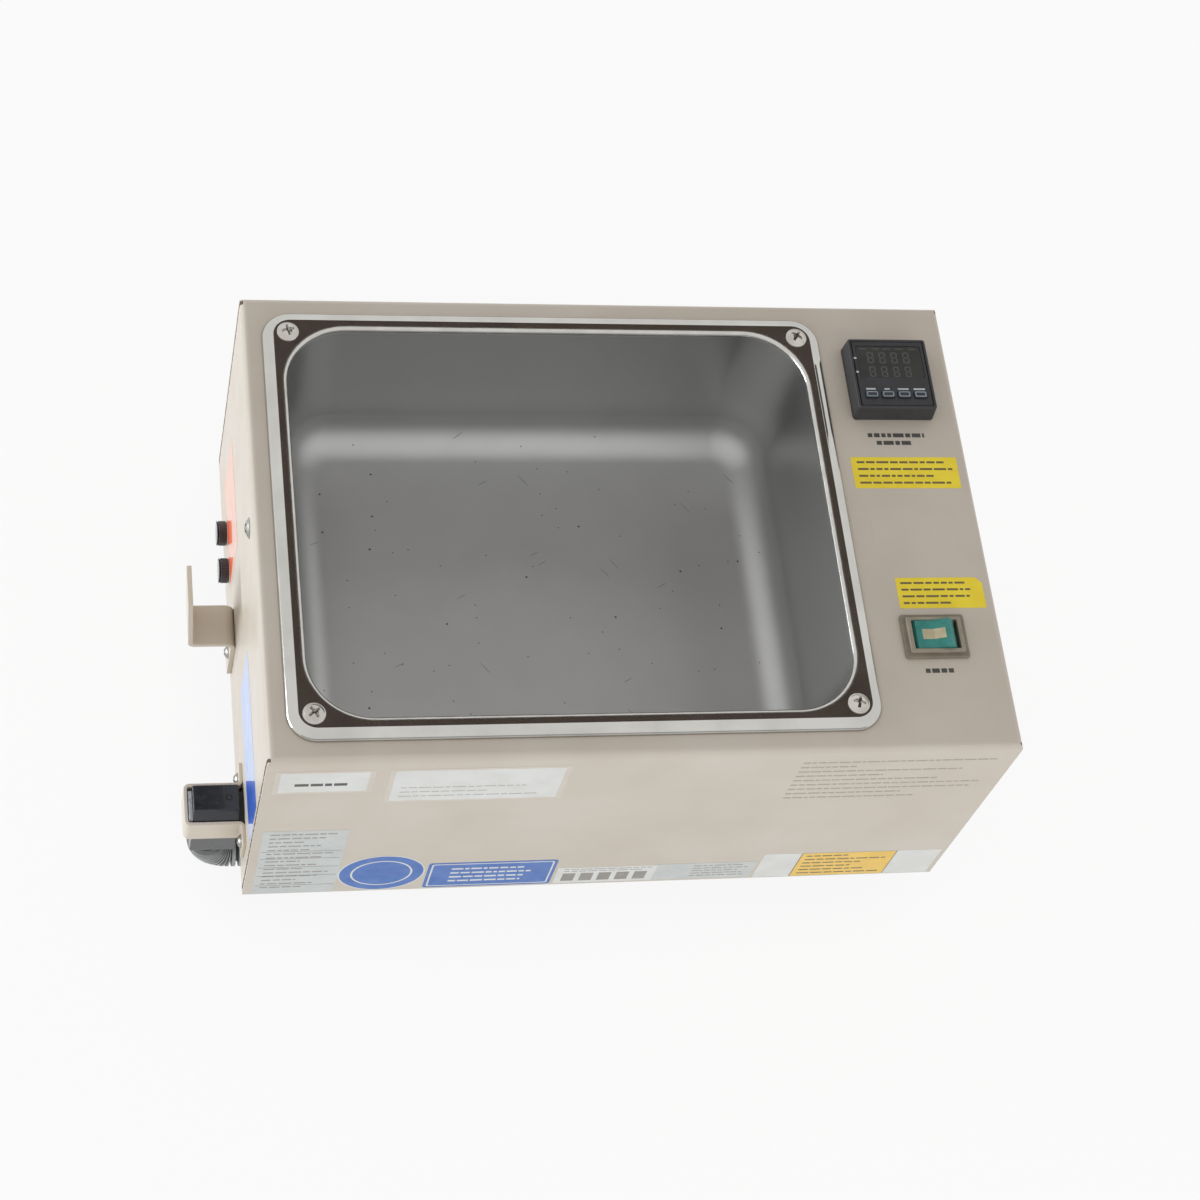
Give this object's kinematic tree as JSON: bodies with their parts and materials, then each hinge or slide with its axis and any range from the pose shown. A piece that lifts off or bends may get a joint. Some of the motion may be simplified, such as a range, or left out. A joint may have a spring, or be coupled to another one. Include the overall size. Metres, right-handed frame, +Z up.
{
  "type": "surgical solution warmer",
  "caption": "Bench warmer with a deep rounded steel basin let into a painted sheet-metal case, a panel temperature controller, a rocker switch, side hook and a mains lead.",
  "frame": {"origin": "on the table, under the middle of the outline of the case with its side strap and hook", "axes": "+X to the right along the case, +Y from the front face to the rear, +Z up"},
  "size_m": [0.439, 0.3998, 0.221],
  "materials": {
    "case_paint": "satin",
    "bracket_paint": "satin",
    "base_steel": "satin",
    "basin_steel": "satin",
    "screw_steel": "polished",
    "foot_rubber": "matte",
    "gasket_rubber": "matte",
    "heater_silicone": "matte",
    "insulation_felt": "matte",
    "sensor_metal": "satin",
    "relay_plastic": "matte",
    "terminal_plastic": "matte",
    "brass": "satin",
    "tinned_metal": "satin",
    "wire_plastic": "matte",
    "controller_black": "matte",
    "window_plastic": "gloss",
    "board_green": "matte",
    "key_plastic": "matte",
    "switch_plastic": "satin",
    "rocker_green": "gloss",
    "fuse_plastic": "satin",
    "fuse_glass": "gloss",
    "connector_black": "gloss",
    "tag_plastic": "gloss",
    "boot_rubber": "satin",
    "cord_rubber": "satin",
    "plug_plastic": "satin",
    "tie_fabric": "matte"
  },
  "bodies": {
    "root": {"case_cover": "case_paint", "retention_strap": "bracket_paint", "cord_hook": "bracket_paint", "base_plate": "base_steel", "basin": "basin_steel", "foot_screws": "screw_steel", "foot_nuts": "screw_steel", "basin_screws": "screw_steel", "basin_nuts": "screw_steel", "relay_screws": "screw_steel", "strap_screws": "screw_steel", "hook_screws": "screw_steel", "side_screw": "screw_steel", "rubber_feet": "foot_rubber", "basin_gasket": "gasket_rubber", "heater_mat": "heater_silicone", "insulation_blanket": "insulation_felt", "high_limit_thermostat": "sensor_metal", "temperature_probe": "sensor_metal", "solid_state_relay": "relay_plastic", "terminal_block": "terminal_plastic", "earth_stud": "brass", "earth_lug": "brass", "plug_blades": "brass", "switch_terminals": "tinned_metal", "inlet_pins": "tinned_metal", "wiring_loom": "wire_plastic", "controller_housing": "controller_black", "controller_clamp": "controller_black", "controller_window": "window_plastic", "controller_board": "board_green", "switch_body": "switch_plastic", "fuse_holders": "fuse_plastic", "fuse_nuts": "fuse_plastic", "mains_inlet": "connector_black", "mains_connector": "connector_black", "connector_tag": "tag_plastic", "connector_boot": "boot_rubber", "mains_cord": "cord_rubber", "mains_cord_coil": "cord_rubber", "mains_cord_tail": "cord_rubber", "mains_plug": "plug_plastic", "cord_tie": "tie_fabric"},
    "set_key": {"set_key": "key_plastic"},
    "shift_key": {"shift_key": "key_plastic"},
    "down_key": {"down_key": "key_plastic"},
    "up_key": {"up_key": "key_plastic"},
    "switch_rocker": {"switch_rocker": "rocker_green"},
    "fuse_rear": {"fuse_rear": "fuse_glass"},
    "fuse_front": {"fuse_front": "fuse_glass"},
    "fuse_cap_rear": {"fuse_cap_rear": "fuse_plastic"},
    "fuse_cap_front": {"fuse_cap_front": "fuse_plastic"}
  },
  "joints": [
    {"name": "set_key_press", "type": "slide", "parent": "root", "child": "set_key", "axis": [0, 0, -1], "range_m": [0, 0.0008], "stiffness_N_per_m": 500},
    {"name": "shift_key_press", "type": "slide", "parent": "root", "child": "shift_key", "axis": [0, 0, -1], "range_m": [0, 0.0008], "stiffness_N_per_m": 500},
    {"name": "down_key_press", "type": "slide", "parent": "root", "child": "down_key", "axis": [0, 0, -1], "range_m": [0, 0.0008], "stiffness_N_per_m": 500},
    {"name": "up_key_press", "type": "slide", "parent": "root", "child": "up_key", "axis": [0, 0, -1], "range_m": [0, 0.0008], "stiffness_N_per_m": 500},
    {"name": "rocker_tilt", "type": "hinge", "parent": "root", "child": "switch_rocker", "pos_m": [0.1797, -0.075, 0.205], "axis": [0, 1, 0], "range_deg": [0, 18]},
    {"name": "fuse_rear_pull", "type": "slide", "parent": "root", "child": "fuse_rear", "axis": [-1, 0, 0], "range_m": [0, 0.048]},
    {"name": "fuse_cap_rear_turn", "type": "hinge", "parent": "fuse_rear", "child": "fuse_cap_rear", "pos_m": [-0.19, 0.0755, 0.06], "axis": [-1, 0, 0], "range_deg": [0, 90]},
    {"name": "fuse_front_pull", "type": "slide", "parent": "root", "child": "fuse_front", "axis": [-1, 0, 0], "range_m": [0, 0.048]},
    {"name": "fuse_cap_front_turn", "type": "hinge", "parent": "fuse_front", "child": "fuse_cap_front", "pos_m": [-0.19, 0.0505, 0.06], "axis": [-1, 0, 0], "range_deg": [0, 90]}
  ]
}
